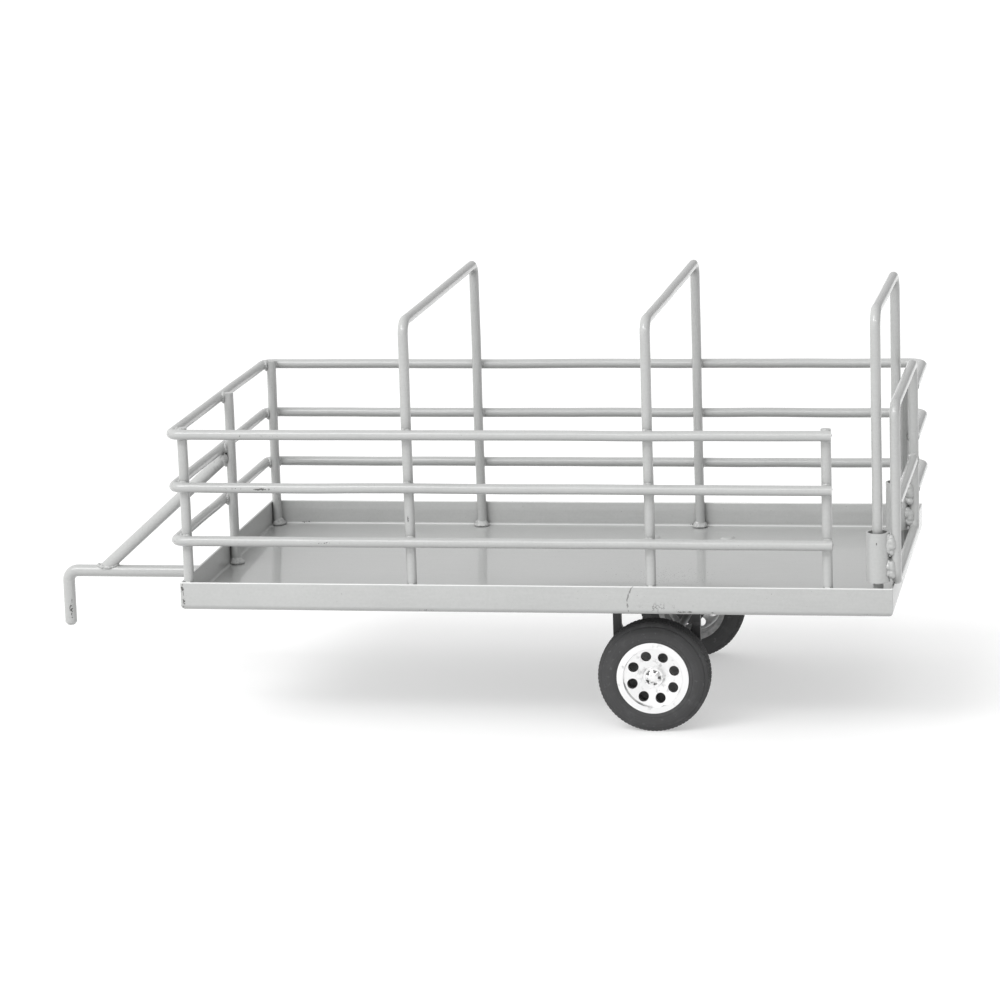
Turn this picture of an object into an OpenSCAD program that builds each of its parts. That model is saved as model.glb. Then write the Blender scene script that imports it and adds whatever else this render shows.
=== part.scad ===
// Hand-built livestock trailer: a folded sheet tray with welded rod rails,
// three hoops, a lift gate that slides on the rear hoop, a drawbar that ends
// in a hitch hook, and two free-turning wheels on a fixed axle.
//
// Axes: +X towards the rear, +Y to the trailer's right, +Z up.
// Origin: middle of the overall box in X and Y, on the ground in Z.
// The modules are written from the tray's front left bottom corner and
// in_frame() moves them to that origin.

/* [Tray] */
// Length of the tray, front to rear
tray_length = 280; // [270:1:330]
// Width of the tray, side to side
tray_width = 157; // [150:1:190]
// Height of the four lips above the underside
lip_height = 11.2; // [8:0.1:16]
// Thickness of the folded sheet
sheet = 1.0; // [0.8:0.1:1.5]
// Outside radius of the folds along the tray's bottom edges
fold_radius = 2.2; // [1.8:0.1:3]

/* [Rods] */
// Diameter of the rail, post, hoop and gate rods
rod_d = 4; // [3.5:0.1:4.5]
// Diameter of the drawbar and its brace
drawbar_d = 5; // [4.5:0.1:6]

/* [Rails and posts] */
// Height of the lower rail's centre above the tray's underside
lower_rail_z = 28.2; // [24:0.1:32]
// Height of the middle rail's centre
middle_rail_z = 49.6; // [46:0.1:54]
// Height of the top rail's centre
top_rail_z = 70.6; // [66:0.1:80]
// Bend radius of the rails at the rear right corner
rear_bend_r = 6; // [5:0.5:10]
// Distance from the tray's rear edge forward to the left end post
left_post_setback = 25; // [22:0.5:40]
// Length of a rail past the centre of the post that ends it
rail_overrun = 2.4; // [2.3:0.1:4]

/* [Hoops] */
// Distance from the tray's front edge to the front hoop
front_hoop_x = 92.6; // [60:0.1:110]
// Distance from the tray's front edge to the middle hoop
middle_hoop_x = 186.6; // [150:0.1:215]
// Height of the front and middle hoops' top centreline
hoop_z = 114; // [95:1:130]
// Bend radius of the front and middle hoops
hoop_bend_r = 5; // [4:0.5:10]
// Height of the rear hoop's top centreline
rear_hoop_z = 117; // [100:1:135]
// Distance between the rear hoop's legs, centre to centre
rear_hoop_span = 94.2; // [70:0.1:105]
// Bend radius of the rear hoop
rear_hoop_bend_r = 6; // [4:0.5:10]

/* [Gate] */
// Height of the gate frame, centre to centre of its top and bottom bars
gate_height = 68; // [55:1:80]
// Bend radius of the gate frame's corners
gate_bend_r = 4.5; // [4:0.5:8]
// Height of the cross bar above the bottom bar, centre to centre
gate_bar_rise = 29; // [22:0.5:45]
// Bore of the guide sleeves, loose on the hoop's legs
sleeve_bore = 7.5; // [6:0.1:8]
// Wall of the guide sleeves
sleeve_wall = 0.75; // [0.6:0.05:1]
// Length of the guide sleeves
sleeve_length = 19.3; // [12:0.1:24]
// Height of the sleeves' lower ends above the lips
sleeve_lift = 1.7; // [1:0.1:4]

/* [Wheels and axle] */
// Distance from the tray's front edge to the axle
axle_x = 185; // [150:1:220]
// Depth of the axle below the tray's underside
axle_drop = 28.5; // [27:0.1:34]
// Axle diameter
axle_d = 3.2; // [3:0.1:4]
// Distance from the tray's side to the wheel's outer face
wheel_inset = 12.2; // [8:0.1:18]
// Tyre outside diameter
tyre_d = 44; // [40:0.5:46]
// Tyre width
tyre_width = 14; // [12:0.5:18]
// Rim diameter over its flanges
rim_d = 28.4; // [26:0.1:30]
// Number of round holes in the rim
rim_holes = 8; // [6:1:9]

/* [Axle hangers] */
// Thickness of the hanger plate
hanger_plate = 2.5; // [2:0.1:3]
// Thickness of the hanger's riveted top flange
hanger_flange = 1.2; // [1:0.1:1.5]
// Distance between the two legs' centres
hanger_spread = 31.4; // [26:0.1:40]
// Width of each leg
hanger_leg = 3.2; // [2.6:0.1:5]
// Radius of the eye that holds the axle
hanger_eye_r = 6; // [4.5:0.1:8]
// Rivet shank diameter
rivet_d = 3; // [2:0.1:3.5]
// Rivet head diameter
rivet_head_d = 6.4; // [5:0.1:7]

/* [Drawbar] */
// Distance from the tray's front edge forward to the hook's centre
hook_reach = 69; // [60:1:95]
// Depth of the hook's tip below the tray's underside
hook_drop = 25.6; // [20:0.1:32]
// Bend radius of the hook
hook_bend_r = 4.2; // [3.5:0.1:7]
// Height of the chamfer on the hook's tip
hook_chamfer = 1.2; // [0.6:0.1:2]
// Length of the drawbar under the tray
drawbar_tail = 70; // [50:1:100]
// Distance from the tray's front edge forward to the brace's foot
brace_reach = 51.5; // [42:0.5:56]
// Drop of the brace's upper end below the middle rail's centre
brace_below_rail = 3.1; // [2.6:0.1:6]

/* [Hidden] */
// Gap between pieces that sit against each other in one welded body
seat = 0.02;
// Radial clearance of the hubs on the axle
running = 0.05;
// Gap between a moving piece and what it passes
air = 0.3;
// Gap that the weld fills between a sleeve and the gate's leg
weld_gap = 0.5;
// Gap under the gate's bottom bar at rest
rest_gap = 0.05;

rod_r = rod_d / 2;
bar_r = drawbar_d / 2;
pitch = rod_d + seat;                         // two rods side by side
post_in = sheet + seat + rod_r;               // post centre inside an edge
rail_out = post_in - pitch;                   // rail centre from that edge
centre_y = tray_width / 2;
left_y = post_in;
right_y = tray_width - post_in;

sleeve_r = sleeve_bore / 2 + sleeve_wall;
hoop_in_y = sheet + air + sleeve_r;           // near leg inside the left lip
rear_hoop_x = tray_length - sheet - 0.5 - sleeve_r;
rear_leg_y = [hoop_in_y, hoop_in_y + rear_hoop_span];
return_post = [tray_length - post_in, rear_leg_y[1] + sleeve_r + rod_r + 0.7];
return_x = tray_length - rail_out;
left_post_x = tray_length - left_post_setback;

gate_x = rear_hoop_x + sleeve_r + weld_gap + rod_r;
gate_low_z = lip_height + rest_gap
    + sqrt(rod_r * rod_r - pow(gate_x - tray_length, 2));
gate_top_z = gate_low_z + gate_height;
gate_bar_z = gate_low_z + gate_bar_rise;
sleeve_low_z = lip_height + sleeve_lift;
// the lower welds start above the bend of the gate's legs
gate_weld_low = max(sleeve_low_z + 0.14 * sleeve_length,
    gate_low_z + gate_bend_r + 0.2);

wheel_mid = wheel_inset + tyre_width / 2;
rim_r = rim_d / 2;
tyre_r = tyre_d / 2;
axle_r = axle_d / 2;
barrel_r = rim_r - 1;                         // where the tyre seats
hanger_y = wheel_inset + tyre_width + 1;      // outer face of the left plate
hub_in = tyre_width / 2 + 1 - air;            // hub's inner end, from mid-wheel
hub_r = rim_r * 0.27;
cap_out = tyre_width / 2 - 0.8;
ground_z = axle_drop + tyre_r;

drawbar_z = -bar_r - seat;
brace_foot = [-brace_reach, drawbar_z + bar_r];
brace_head = [post_in - rod_r, middle_rail_z - brace_below_rail];
brace_tilt = atan2(brace_head[1] - brace_foot[1], brace_head[0] - brace_foot[0]);

collar_r = rod_r * 1.3;                       // beads round a bar's end
front_x = -hook_reach - bar_r;
rear_x = max(return_x + rod_r, gate_x + collar_r);
mid_x = (front_x + rear_x) / 2;

grey = [0.78, 0.79, 0.80];
dark = [0.16, 0.16, 0.17];
steel = [0.72, 0.72, 0.74];
bright = [0.86, 0.87, 0.88];
rubber = [0.12, 0.12, 0.12];

$fn = 48;

// ---------- helpers ----------

module in_frame() translate([-mid_x, -centre_y, ground_z]) children();

function unit(v) = v / norm(v);
function wrap(i, n) = (i + n) % n;
function turn_at(p, i) = let (
    n = len(p),
    a = unit(p[i] - p[wrap(i - 1, n)]),
    b = unit(p[wrap(i + 1, n)] - p[i]))
    atan2(a[0] * b[1] - a[1] * b[0], a * b);
function setback(p, i, r) = r * tan(abs(turn_at(p, i)) / 2);

// A round rod bent in the XY plane along the corners in path.
// bends has one radius for each corner.
module bent_rod(path, d, bends, closed = false) {
    n = len(path);
    for (i = [0 : closed ? n - 1 : n - 2]) {
        j = wrap(i + 1, n);
        u = unit(path[j] - path[i]);
        t0 = closed || i > 0 ? setback(path, i, bends[i]) : 0;
        t1 = closed || j < n - 1 ? setback(path, j, bends[j]) : 0;
        translate(path[i] + u * t0)
            rotate([0, 0, atan2(u[1], u[0])]) rotate([0, 90, 0])
                cylinder(d = d, h = norm(path[j] - path[i]) - t0 - t1);
    }
    for (i = [closed ? 0 : 1 : closed ? n - 1 : n - 2]) {
        r = bends[i];
        turn = turn_at(path, i);
        u = unit(path[i] - path[wrap(i - 1, n)]);
        start = path[i] - u * setback(path, i, r);
        c = start + sign(turn) * r * [-u[1], u[0]];
        from = atan2(start[1] - c[1], start[0] - c[0]);
        translate(c) rotate([0, 0, min(from, from + turn)])
            rotate_extrude(angle = abs(turn)) translate([r, 0]) circle(d = d);
    }
}

module in_yz(x) translate([x, 0, 0]) rotate([90, 0, 90]) children();
module in_xz(y) translate([0, y, 0]) rotate([90, 0, 0]) children();

module rod_z(x, y, z0, z1, r) translate([x, y, z0]) cylinder(r = r, h = z1 - z0);
module rod_x(x0, x1, y, z, r)
    translate([x0, y, z]) rotate([0, 90, 0]) cylinder(r = r, h = x1 - x0);
module rod_y(x, y0, y1, z, r)
    translate([x, y0, z]) rotate([-90, 0, 0]) cylinder(r = r, h = y1 - y0);

// Box between two corners
module box(a, b) translate(a) cube(b - a);

// Turns about the wheel's axis, with +X of the profile pointing outwards
// and +Y of the profile pointing away from the trailer
module wheel_turned(side) {
    y = side < 0 ? wheel_mid : tray_width - wheel_mid;
    translate([axle_x, y, -axle_drop]) rotate([side < 0 ? 90 : -90, 0, 0])
        rotate_extrude() children();
}

// ---------- tray ----------

module pan_section(width, height, r) {
    translate([r, 0]) square([width - 2 * r, height]);
    translate([0, r]) square([width, height - r]);
    for (x = [r, width - r]) translate([x, r]) circle(r = r);
}

module pan(inset, top) {
    r = fold_radius - inset;
    l = tray_length - 2 * inset;
    w = tray_width - 2 * inset;
    h = top - inset;
    translate([inset, inset, inset]) intersection() {
        translate([0, w, 0]) rotate([90, 0, 0])
            linear_extrude(w) pan_section(l, h, r);
        rotate([90, 0, 90]) linear_extrude(l) pan_section(w, h, r);
    }
}

hanger_line = hanger_y - rivet_d * 0.8 - air;  // rivets clear of the plate
flange_out = hanger_line - rivet_head_d / 2 - 0.3;
rivet_places = [for (y = [hanger_line, tray_width - hanger_line])
    for (x = [-1, 1]) [axle_x + x * hanger_spread / 2, y]];

// The space inside the lips, up past everything that stands in it
module pan_inside() pan(sheet + seat, 2 * rear_hoop_z);

module tray() color(grey) in_frame() difference() {
    pan(0, lip_height);
    pan(sheet, lip_height + 5);
    for (p = rivet_places) rod_z(p[0], p[1], -1, sheet + 1, rivet_d / 2 + seat);
}

// ---------- rails, posts and hoops ----------

module rail(z) color(grey) in_frame() translate([0, 0, z]) bent_rod(
    [[left_post_x + rail_overrun, rail_out],
     [rail_out, rail_out],
     [rail_out, tray_width - rail_out],
     [return_x, tray_width - rail_out],
     [return_x, return_post[1] - rail_overrun]],
    rod_d, [0, pitch, pitch, rear_bend_r, 0]);

module top_rail() rail(top_rail_z);
module middle_rail() rail(middle_rail_z);
module lower_rail() rail(lower_rail_z);

module post(x, y) color(grey) in_frame() intersection() {
    rod_z(x, y, 0, top_rail_z + rod_r, rod_r);
    pan_inside();
}

module front_left_post() post(post_in, left_y);
module front_centre_post() post(post_in, centre_y);
module front_right_post() post(post_in, right_y);
module left_end_post() post(left_post_x, left_y);
module rear_right_post() post(return_post[0], return_post[1]);

module hoop(x, y0, y1, top, r) color(grey) in_frame() intersection() {
    in_yz(x) bent_rod([[y0, 0], [y0, top], [y1, top], [y1, 0]],
        rod_d, [0, r, r, 0]);
    pan_inside();
}

module front_hoop() hoop(front_hoop_x, left_y, right_y, hoop_z, hoop_bend_r);
module middle_hoop() hoop(middle_hoop_x, left_y, right_y, hoop_z, hoop_bend_r);
module rear_hoop() hoop(rear_hoop_x, rear_leg_y[0], rear_leg_y[1],
    rear_hoop_z, rear_hoop_bend_r);

// ---------- weld beads ----------

bead_r = rod_r * 1.16;

// Fillet where a rail along X or Y passes an upright. dir points from the
// upright to the rail; keep trims the bead to one side at a bent corner.
module crossing_bead(up, dir, z, keep = 0) {
    along_x = dir[0] == 0;
    touch = up + dir * (pitch / 2);
    over = bead_r + 1;
    intersection() {
        difference() {
            translate([touch[0], touch[1], z]) sphere(r = bead_r);
            rod_z(up[0], up[1], z - over, z + over, rod_r + seat);
            translate([up[0] + dir[0] * pitch, up[1] + dir[1] * pitch, z])
                rotate(along_x ? [0, 90, 0] : [90, 0, 0])
                    cylinder(r = rod_r + seat, h = 2 * over, center = true);
        }
        if (keep != 0) {
            side = along_x ? [keep, 0] : [0, keep];
            translate([touch[0] + side[0] * over, touch[1] + side[1] * over, z])
                cube(2 * over, center = true);
        }
    }
}

module rail_welds() color(grey) in_frame()
    for (z = [lower_rail_z, middle_rail_z, top_rail_z]) {
    for (x = [left_post_x, front_hoop_x, middle_hoop_x])
        crossing_bead([x, left_y], [0, -1], z);
    for (x = [front_hoop_x, middle_hoop_x])
        crossing_bead([x, right_y], [0, 1], z);
    if (z != middle_rail_z)                   // the brace's own bead is there
        crossing_bead([post_in, centre_y], [-1, 0], z);
    crossing_bead(return_post, [1, 0], z);
    crossing_bead([post_in, left_y], [0, -1], z, 1);
    crossing_bead([post_in, left_y], [-1, 0], z, 1);
    crossing_bead([post_in, right_y], [0, 1], z, 1);
    crossing_bead([post_in, right_y], [-1, 0], z, -1);
}

foot_r = rod_r + 1.7;
foot_h = 1.7;
feet = concat(
    [for (y = [left_y, centre_y, right_y]) [post_in, y]],
    [[left_post_x, left_y], return_post],
    [for (x = [front_hoop_x, middle_hoop_x]) for (y = [left_y, right_y]) [x, y]],
    [for (y = rear_leg_y) [rear_hoop_x, y]]);

// Concave fillet round each upright's foot, cut off where a lip stands
module foot_welds() color(grey) in_frame() intersection() {
    for (p = feet) translate([p[0], p[1], sheet]) rotate_extrude() difference() {
        translate([rod_r + seat, 0]) square([foot_r - rod_r - seat, foot_h]);
        translate([foot_r + 0.35, foot_h + 0.35]) circle(r = foot_h);
    }
    pan_inside();
}

// ---------- drawbar ----------

module drawbar() color(grey) in_frame() {
    shank = hook_drop - hook_chamfer;
    in_xz(centre_y) bent_rod(
        [[drawbar_tail, drawbar_z], [-hook_reach, drawbar_z], [-hook_reach, -shank]],
        drawbar_d, [0, hook_bend_r, 0]);
    translate([-hook_reach, centre_y, -hook_drop])
        cylinder(r1 = bar_r - hook_chamfer * 0.8, r2 = bar_r, h = hook_chamfer);
}

module brace_rod(grow) {
    translate([brace_foot[0], centre_y, brace_foot[1]]) rotate([0, 90 - brace_tilt, 0])
        translate([0, 0, -4]) cylinder(r = bar_r + grow, h = 100);
}

module brace_cuts(grow) {
    rod_x(-hook_reach, 10, centre_y, drawbar_z, bar_r + grow);
    rod_y(rail_out, centre_y - 8, centre_y + 8, middle_rail_z, rod_r + grow);
    box([brace_head[0] - seat, centre_y - 8, -10], [90, centre_y + 8, 120]);
    box([-90, centre_y - 8, -20], [20, centre_y + 8, drawbar_z]);
}

module drawbar_brace() color(grey) in_frame() difference() {
    brace_rod(0);
    brace_cuts(seat);
}

// Fillets in the corners that the brace makes, given as outlines in XZ
module brace_fillet(outline) difference() {
    translate([0, centre_y + 1.6, 0]) rotate([90, 0, 0])
        linear_extrude(3.2) polygon(outline);
    brace_rod(seat);
    rod_x(-hook_reach, 10, centre_y, drawbar_z, bar_r + seat);
    rod_z(post_in, centre_y, 0, top_rail_z, rod_r + seat);
}

module drawbar_welds() color(grey) in_frame() {
    side = bar_r / sin(brace_tilt);           // half the brace's width at its foot
    drop = bar_r / cos(brace_tilt);           // and at its head
    f = brace_foot;
    h = brace_head;
    brace_fillet([[f[0] - side - 1.9, f[1] - 0.6], [f[0], f[1]],
                  [f[0] - side + 1.2, f[1] + 2.3]]);
    brace_fillet([[f[0] + side - 2, f[1] - 0.6], [f[0] + side + 3.6, f[1] - 0.6],
                  [f[0] + side + 2.6, f[1] + 3]]);
    brace_fillet([[h[0] + 0.8, h[1] - drop - 3.4], [h[0] + 0.8, h[1] - drop + 1],
                  [h[0] - 2.8, h[1] - drop - 2.1]]);
    // fillets under the tray on both sides of the drawbar
    for (x = [fold_radius + 1, drawbar_tail - 16]) for (s = [-1, 1])
        translate([x, centre_y, -seat]) rotate([90, 0, 90])
            linear_extrude(13) difference() {
                translate([s < 0 ? -bar_r - 0.7 : 0.9, -1.9])
                    square([bar_r - 0.2, 1.9]);
                translate([0, -bar_r]) circle(r = bar_r + seat);
                translate([s * (bar_r + 1.6), -2.6]) circle(r = 1.9);
            }
}

// ---------- gate ----------

module gate_frame() color(grey) in_frame() in_yz(gate_x) bent_rod(
    [[rear_leg_y[0], gate_low_z], [rear_leg_y[1], gate_low_z],
     [rear_leg_y[1], gate_top_z], [rear_leg_y[0], gate_top_z]],
    rod_d, [for (i = [0 : 3]) gate_bend_r], closed = true);

module gate_cross_bar() color(grey) in_frame() difference() {
    rod_y(gate_x, rear_leg_y[0] + 1, rear_leg_y[1] - 1, gate_bar_z, rod_r - seat);
    for (y = rear_leg_y)
        rod_z(gate_x, y, gate_bar_z - 5, gate_bar_z + 5, rod_r + seat);
}

module sleeve(y) color(grey) in_frame() difference() {
    rod_z(rear_hoop_x, y, sleeve_low_z, sleeve_low_z + sleeve_length, sleeve_r);
    rod_z(rear_hoop_x, y, sleeve_low_z - 1, sleeve_low_z + sleeve_length + 1,
        sleeve_bore / 2);
}

module left_gate_sleeve() sleeve(rear_leg_y[0]);
module right_gate_sleeve() sleeve(rear_leg_y[1]);

module gate_welds() color(grey) in_frame() for (s = [0, 1]) {
    y = rear_leg_y[s];
    in = s == 0 ? 1 : -1;
    // two waisted blocks between each sleeve and the gate's leg
    for (z = [gate_weld_low, sleeve_low_z + 0.66 * sleeve_length])
        translate([0, y, z]) linear_extrude(sleeve_length * 0.24) difference() {
            translate([rear_hoop_x + sleeve_r - 0.7, -rod_r * 0.8])
                square([weld_gap + 1.5, rod_r * 1.6]);
            translate([rear_hoop_x, 0]) circle(r = sleeve_r + seat);
            translate([gate_x, 0]) circle(r = rod_r + seat);
        }
    // collar where the cross bar meets the leg
    difference() {
        translate([gate_x, y + in * rod_r * 0.9, gate_bar_z]) sphere(r = collar_r);
        rod_z(gate_x, y, gate_bar_z - 5, gate_bar_z + 5, rod_r + seat);
        rod_y(gate_x, rear_leg_y[0], rear_leg_y[1], gate_bar_z, rod_r + seat / 2);
    }
}

// ---------- axle, hangers and wheels ----------

// Plate seen along the axle, with the axle's centre at the origin
module hanger_section() {
    half = (hanger_spread + hanger_leg) / 2;
    inner = half - hanger_leg;
    top = axle_drop - seat;
    sill = top - 13.5;
    r = 3.5;
    difference() {
        union() {
            polygon([[-half, top], [-half, top - 17],
                [-hanger_eye_r * 0.86, -hanger_eye_r * 0.5],
                [hanger_eye_r * 0.86, -hanger_eye_r * 0.5],
                [half, top - 17], [half, top]]);
            circle(r = hanger_eye_r);
        }
        translate([-inner, sill + r]) square([2 * inner, axle_drop]);
        translate([-inner + r, sill]) square([2 * (inner - r), axle_drop]);
        for (s = [-1, 1]) translate([s * (inner - r), sill + r]) circle(r = r);
        circle(r = axle_r + seat);
    }
}

// side is -1 on the left, 1 on the right
module hanger(side) color(dark) in_frame()
    translate([axle_x, side < 0 ? 0 : tray_width, 0])
        mirror([0, side < 0 ? 0 : 1, 0]) difference() {
            union() {
                translate([0, hanger_y + hanger_plate, -axle_drop])
                    rotate([90, 0, 0]) linear_extrude(hanger_plate) hanger_section();
                box([-hanger_spread / 2 - 4, flange_out, -seat - hanger_flange],
                    [hanger_spread / 2 + 4, hanger_y + hanger_plate, -seat]);
            }
            for (s = [-1, 1]) rod_z(s * hanger_spread / 2, hanger_line,
                -5, 1, rivet_d / 2 + seat);
        }

module left_axle_hanger() hanger(-1);
module right_axle_hanger() hanger(1);

module hanger_rivets() color(grey) in_frame() for (p = rivet_places)
    translate([p[0], p[1], 0]) {
        low = -seat - hanger_flange;
        rod_z(0, 0, low - 0.9, sheet + 0.5, rivet_d / 2);
        translate([0, 0, low - 0.9]) cylinder(d = rivet_d * 1.6, h = 0.9);
        // low domed head on the floor
        translate([0, 0, sheet]) cylinder(d1 = rivet_head_d, d2 = rivet_head_d * 0.72, h = 0.7);
    }

module axle() color(steel) in_frame() rod_y(axle_x,
    wheel_mid - cap_out + 0.8, tray_width - wheel_mid + cap_out - 0.8,
    -axle_drop, axle_r);

// Push-on caps that keep the wheels on
module axle_caps() color(bright) in_frame() for (s = [-1, 1]) {
    r = axle_r + 0.7;
    start = tyre_width / 2 - 2.7;
    stop = cap_out - 0.8;
    wheel_turned(s) difference() {
        polygon([[0, start], [r, start], [r, cap_out - 0.6],
                 [r - 0.6, cap_out], [0, cap_out]]);
        translate([-1, start - 1]) square([1 + axle_r + seat, stop - start + 1 + seat]);
        translate([-9, 0]) square([9, 20]);
    }
}

module tyre(side) color(rubber) in_frame() wheel_turned(side) {
    bead = barrel_r + running;
    half = tyre_width / 2;
    shoulder = 3;
    flange_in = half - 1.5;
    difference() {
        union() {
            translate([bead, -half]) square([tyre_r - shoulder - bead, tyre_width]);
            translate([bead, -half + shoulder])
                square([tyre_r - bead, tyre_width - 2 * shoulder]);
            for (s = [-1, 1]) translate([tyre_r - shoulder, s * (half - shoulder)])
                circle(r = shoulder);
        }
        // rebates that the rim's flanges sit in
        for (s = [-1, 1]) translate([bead - 1, s > 0 ? flange_in : -half - 1])
            square([rim_r + running - bead + 1, half - flange_in + 1]);
        // grooves round the tread
        for (a = [-2.4, 0, 2.4]) translate([tyre_r - 0.6, a - 0.3]) square([1, 0.6]);
    }
}

module left_tyre() tyre(-1);
module right_tyre() tyre(1);

module rim(side) color(bright) in_frame() difference() {
    half = tyre_width / 2;
    wheel_turned(side) polygon([
        [axle_r + running, -hub_in], [hub_r * 0.8, -hub_in], [hub_r * 0.8, half - 5.4],
        [rim_r - 2.3, half - 3.8], [rim_r - 2.1, -half + 0.4], [rim_r, -half + 0.4],
        [rim_r, -half + 1.4], [barrel_r, -half + 1.4], [barrel_r, half - 1.4],
        [rim_r, half - 1.4], [rim_r, half - 0.4], [rim_r * 0.83, half - 0.4],
        [rim_r * 0.8, half - 1.8], [hub_r + 0.4, half - 3.4], [hub_r, half - 1.8],
        [hub_r * 0.8, half - 1.8], [hub_r * 0.8, half - 3],
        [axle_r + running, half - 3]]);
    y = side < 0 ? wheel_mid : tray_width - wheel_mid;
    for (i = [0 : rim_holes - 1]) translate([axle_x, y, -axle_drop])
        rotate([0, 27 + i * 360 / rim_holes, 0]) translate([rim_r * 0.614, 0, 0])
            rotate([90, 0, 0]) cylinder(r = rim_r * 0.143, h = tyre_width + 4, center = true);
}

module left_rim() rim(-1);
module right_rim() rim(1);

tray();
top_rail();
middle_rail();
lower_rail();
front_left_post();
front_centre_post();
front_right_post();
left_end_post();
rear_right_post();
front_hoop();
middle_hoop();
rear_hoop();
rail_welds();
foot_welds();
drawbar();
drawbar_brace();
drawbar_welds();
gate_frame();
gate_cross_bar();
left_gate_sleeve();
right_gate_sleeve();
gate_welds();
left_axle_hanger();
right_axle_hanger();
hanger_rivets();
axle();
axle_caps();
left_tyre();
left_rim();
right_tyre();
right_rim();
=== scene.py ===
"""Looks of a hand-built livestock trailer: enamelled rods, lumpy welds, tyres, rims and a studio.

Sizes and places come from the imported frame. Lengths are metres unless a name ends in _mm.
"""

import math

import bmesh
import bpy
from bpy.props import (
    FloatProperty,
    FloatVectorProperty,
    IntProperty,
    PointerProperty,
)
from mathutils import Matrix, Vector


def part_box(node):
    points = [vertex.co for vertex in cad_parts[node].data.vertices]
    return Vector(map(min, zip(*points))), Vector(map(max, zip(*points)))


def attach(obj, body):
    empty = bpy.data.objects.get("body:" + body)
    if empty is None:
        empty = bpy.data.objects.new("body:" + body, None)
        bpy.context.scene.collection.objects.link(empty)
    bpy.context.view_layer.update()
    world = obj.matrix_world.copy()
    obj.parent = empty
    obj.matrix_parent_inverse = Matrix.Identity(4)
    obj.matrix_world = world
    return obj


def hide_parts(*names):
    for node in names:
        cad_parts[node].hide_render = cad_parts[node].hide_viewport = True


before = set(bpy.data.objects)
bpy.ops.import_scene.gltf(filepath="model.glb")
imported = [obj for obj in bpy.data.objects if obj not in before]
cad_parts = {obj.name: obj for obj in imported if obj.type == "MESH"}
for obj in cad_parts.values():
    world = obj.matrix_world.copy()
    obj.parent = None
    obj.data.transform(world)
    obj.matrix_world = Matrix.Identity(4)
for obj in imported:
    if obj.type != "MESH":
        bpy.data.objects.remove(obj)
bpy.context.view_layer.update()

bl_info = {
    "name": "Livestock trailer looks",
    "version": (1, 0, 0),
    "blender": (4, 5, 0),
    "location": "3D View > Sidebar > Trailer",
    "description": "Builds the finish, welds, wheels and studio of a hand-built livestock trailer",
    "category": "Object",
}

MM = 0.001
NEAR, FAR = -1, 1                     # the trailer's left and right sides
SHEET = 1.0 * MM                      # thickness of the folded tray


# ---------- places taken from the frame ----------


def middle(node):
    low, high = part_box(node)
    return (low + high) / 2


def half_width(node):
    low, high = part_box(node)
    return (high.x - low.x) / 2


ROD = half_width("left_end_post")     # radius of the rods
BAR = (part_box("drawbar")[1].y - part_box("drawbar")[0].y) / 2
TRAY_LOW, TRAY_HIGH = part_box("tray")
FLOOR_Z = TRAY_LOW.z + SHEET
LIP_Z = TRAY_HIGH.z
RAILS = ("top_rail", "middle_rail", "lower_rail")
HOOPS = ("front_hoop", "middle_hoop", "rear_hoop")
POSTS = (
    "front_left_post",
    "front_centre_post",
    "front_right_post",
    "left_end_post",
    "rear_right_post",
)
WHEELS = {
    "left_wheel": ("left_tyre", "left_rim", NEAR),
    "right_wheel": ("right_tyre", "right_rim", FAR),
}
FOOT_SINK = 0.3 * MM                  # how far an upright's end goes into the floor
BRACE_WELD_OUT = 0.3 * MM             # from the post's face forwards to the brace's head weld
RAIL_OVERRUN = 2.4 * MM               # how far a rail's end passes the middle of its last post
RAIL_END_BEND = 6 * MM                # bend radius where the right rail turns in at the rear
HOOP_BENDS = {"front_hoop": 5 * MM, "middle_hoop": 5 * MM, "rear_hoop": 6 * MM}
BRACE_HEAD_DROP = 3.1 * MM            # from the middle rail's centre down to the brace's head
TAIL_WELDS = ((4 * MM, 17 * MM), (54 * MM, 67 * MM))    # along the drawbar, from the front lip


def on_tray(x_mm, y_mm, z_mm):
    """A point measured from the tray's front left bottom corner, in the row frame."""
    return Vector((TRAY_LOW.x + x_mm * MM, TRAY_LOW.y + y_mm * MM, TRAY_LOW.z + z_mm * MM))


def hoop_legs(hoop):
    """Centres of a hoop's two legs at the floor, left one first."""
    low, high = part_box(hoop)
    x = (low.x + high.x) / 2
    return [Vector((x, low.y + ROD, FLOOR_Z)), Vector((x, high.y - ROD, FLOOR_Z))]


def post_foot(post):
    at = middle(post)
    return Vector((at.x, at.y, FLOOR_Z))


def turns(count, angle=math.tau):
    """Equal steps through an angle, both ends included."""
    return [angle * i / count for i in range(count + 1)]


# ---------- objects and meshes ----------


def add_object(name, data):
    """Links a new object that holds a mesh, a light or a camera."""
    made = bpy.data.objects.new(name, data)
    bpy.context.scene.collection.objects.link(made)
    return made


def finished_mesh(work, name):
    """Turns a working mesh into a stored one and frees it."""
    mesh = bpy.data.meshes.new(name)
    work.to_mesh(mesh)
    work.free()
    return mesh


# ---------- node graphs ----------


class Value:
    """An output socket that takes part in sums, each of which adds a Math node."""

    def __init__(self, graph, socket):
        self.graph = graph
        self.socket = socket

    def _sum(self, operation, a, b):
        return self.graph.math(operation, a, b)

    def __add__(self, other):
        return self._sum("ADD", self, other)

    __radd__ = __add__

    def __sub__(self, other):
        return self._sum("SUBTRACT", self, other)

    def __rsub__(self, other):
        return self._sum("SUBTRACT", other, self)

    def __mul__(self, other):
        return self._sum("MULTIPLY", self, other)

    __rmul__ = __mul__

    def __truediv__(self, other):
        return self._sum("DIVIDE", self, other)

    def __pow__(self, other):
        return self._sum("POWER", self, other)

    def other(self, name):
        """Another output of the same node."""
        return Value(self.graph, self.socket.node.outputs[name])


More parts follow.
